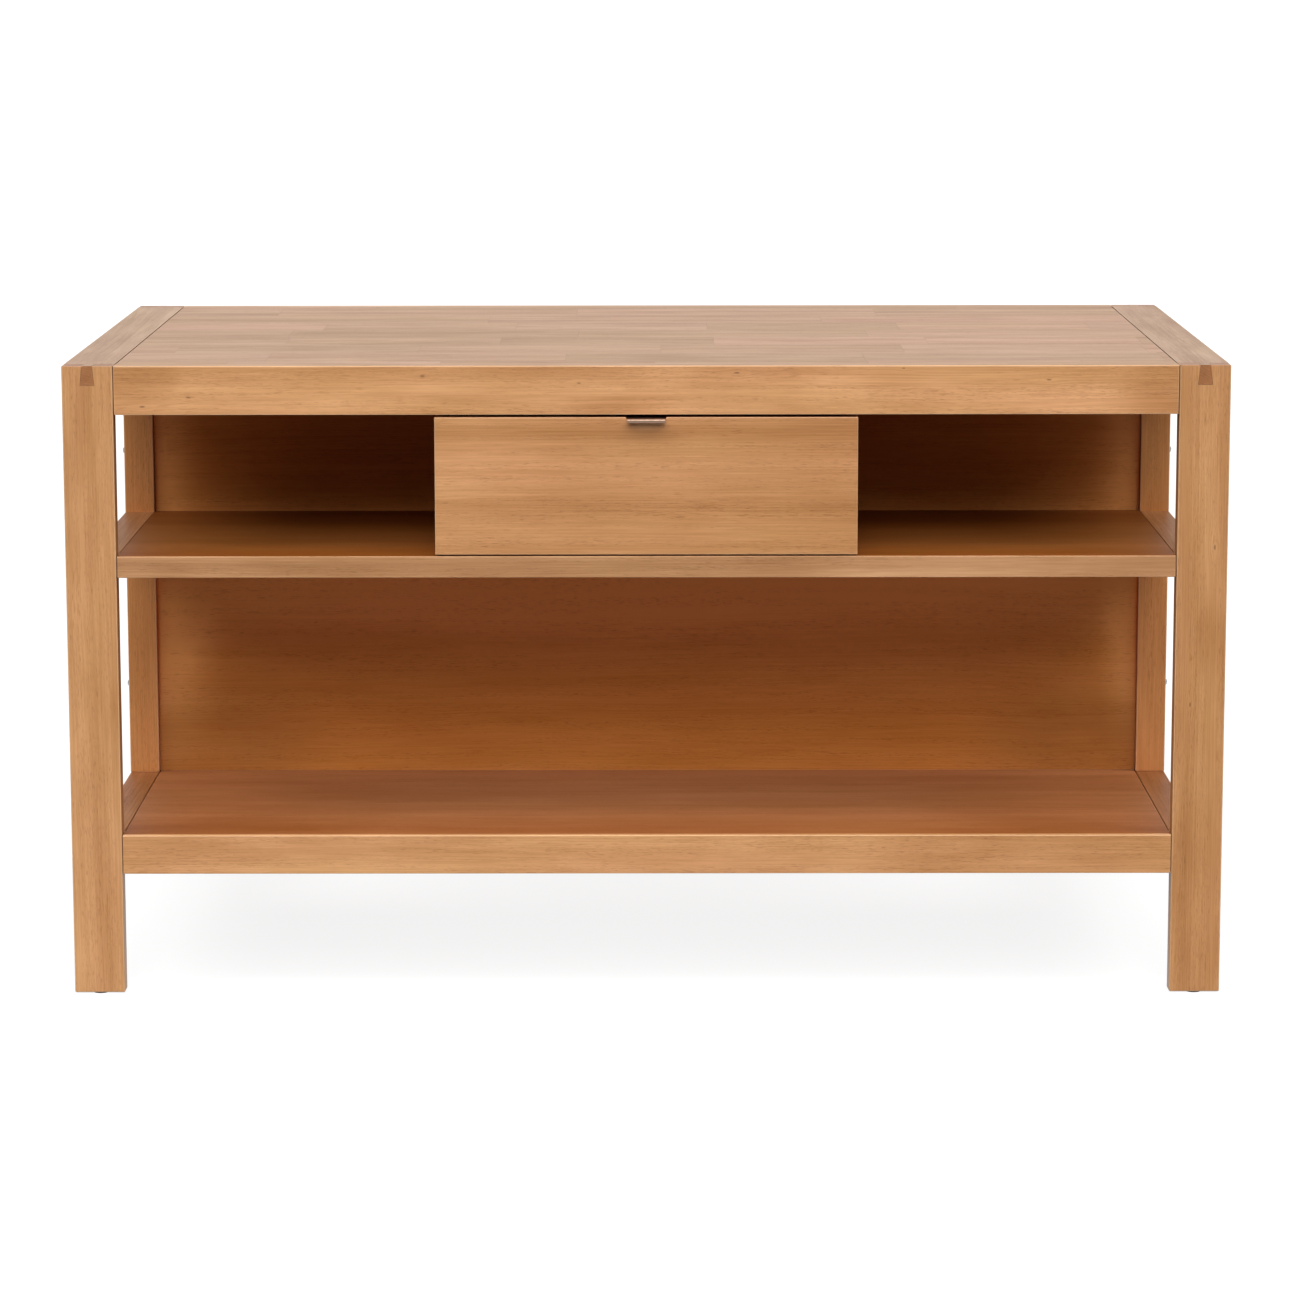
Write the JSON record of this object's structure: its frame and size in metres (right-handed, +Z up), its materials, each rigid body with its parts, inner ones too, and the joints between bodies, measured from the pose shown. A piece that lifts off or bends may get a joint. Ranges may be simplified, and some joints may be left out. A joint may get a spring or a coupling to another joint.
{
  "type": "kitchen island",
  "caption": "Long hardwood kitchen island with a dovetailed worktop, open shelves, a drawer under the worktop, a back panel and open knee room behind.",
  "frame": {"origin": "on the floor, under the middle of the worktop", "axes": "+X to the right along the length, +Y from the drawer side to the knee-room side, +Z up"},
  "size_m": [1.6, 0.913, 0.882],
  "materials": {
    "leg_wood": "satin lacquered honey hardwood, straight vertical grain",
    "worktop_wood": "satin oiled hardwood in finger-jointed staves",
    "rail_wood": "satin lacquered honey hardwood, grain along the rail",
    "shelf_wood": "satin lacquered hardwood shelf",
    "panel_veneer": "satin hardwood veneer, grain across the panel",
    "drawer_wood": "satin lacquered hardwood with darker straight streaks",
    "box_wood": "pale unstained drawer-box wood, sealed",
    "brushed_steel": "fine brushed steel",
    "zinc_steel": "bright zinc plating",
    "glide_nylon": "moulded nylon",
    "soft_pad": "soft pale elastomer"
  },
  "bodies": {
    "frame": {"front_leg_left": "leg_wood", "front_leg_right": "leg_wood", "back_leg_left": "leg_wood", "back_leg_right": "leg_wood", "glide_front_left": "glide_nylon", "glide_front_right": "glide_nylon", "glide_back_left": "glide_nylon", "glide_back_right": "glide_nylon", "end_rail_left": "worktop_wood", "end_rail_right": "worktop_wood", "tabletop": "worktop_wood", "front_apron": "rail_wood", "back_apron": "rail_wood", "top_bearer_left": "rail_wood", "top_bearer_right": "rail_wood", "centre_bearer": "rail_wood", "post_left": "leg_wood", "post_right": "leg_wood", "mid_side_rail_left": "rail_wood", "mid_side_rail_right": "rail_wood", "lower_side_rail_left": "rail_wood", "lower_side_rail_right": "rail_wood", "lower_front_rail": "rail_wood", "lower_back_rail": "rail_wood", "shelf_cleat_front": "rail_wood", "shelf_cleat_left": "rail_wood", "shelf_cleat_right": "rail_wood", "mid_shelf": "shelf_wood", "lower_shelf": "shelf_wood", "back_panel": "panel_veneer", "post_bolt_upper_left": "zinc_steel", "post_bolt_upper_right": "zinc_steel", "post_bolt_lower_left": "zinc_steel", "post_bolt_lower_right": "zinc_steel", "panel_sleeve_upper_left": "zinc_steel", "panel_sleeve_upper_right": "zinc_steel", "panel_sleeve_lower_left": "zinc_steel", "panel_sleeve_lower_right": "zinc_steel", "drawer_divider_left": "panel_veneer", "drawer_divider_right": "panel_veneer", "drawer_pad_left": "soft_pad", "drawer_pad_right": "soft_pad", "runner_fixed_left": "zinc_steel", "runner_fixed_right": "zinc_steel"},
    "middle_runners": {"runner_middle_left": "zinc_steel", "runner_middle_right": "zinc_steel"},
    "drawer": {"drawer_front": "drawer_wood", "drawer_side_left": "box_wood", "drawer_side_right": "box_wood", "drawer_box_front": "box_wood", "drawer_box_back": "box_wood", "drawer_bottom": "box_wood", "runner_drawer_left": "zinc_steel", "runner_drawer_right": "zinc_steel", "drawer_pull": "brushed_steel", "pull_screw_left": "zinc_steel", "pull_screw_right": "zinc_steel"}
  },
  "joints": [
    {"name": "drawer_slide", "type": "slide", "parent": "frame", "child": "drawer", "axis": [0, -1, 0], "range_m": [0, 0.34]},
    {"name": "middle_runner_slide", "type": "slide", "parent": "frame", "child": "middle_runners", "axis": [0, -1, 0], "range_m": [0, 0.17]}
  ],
  "couplings": [
    {"joint": "middle_runner_slide", "follows": "drawer_slide", "ratio": 0.5}
  ]
}
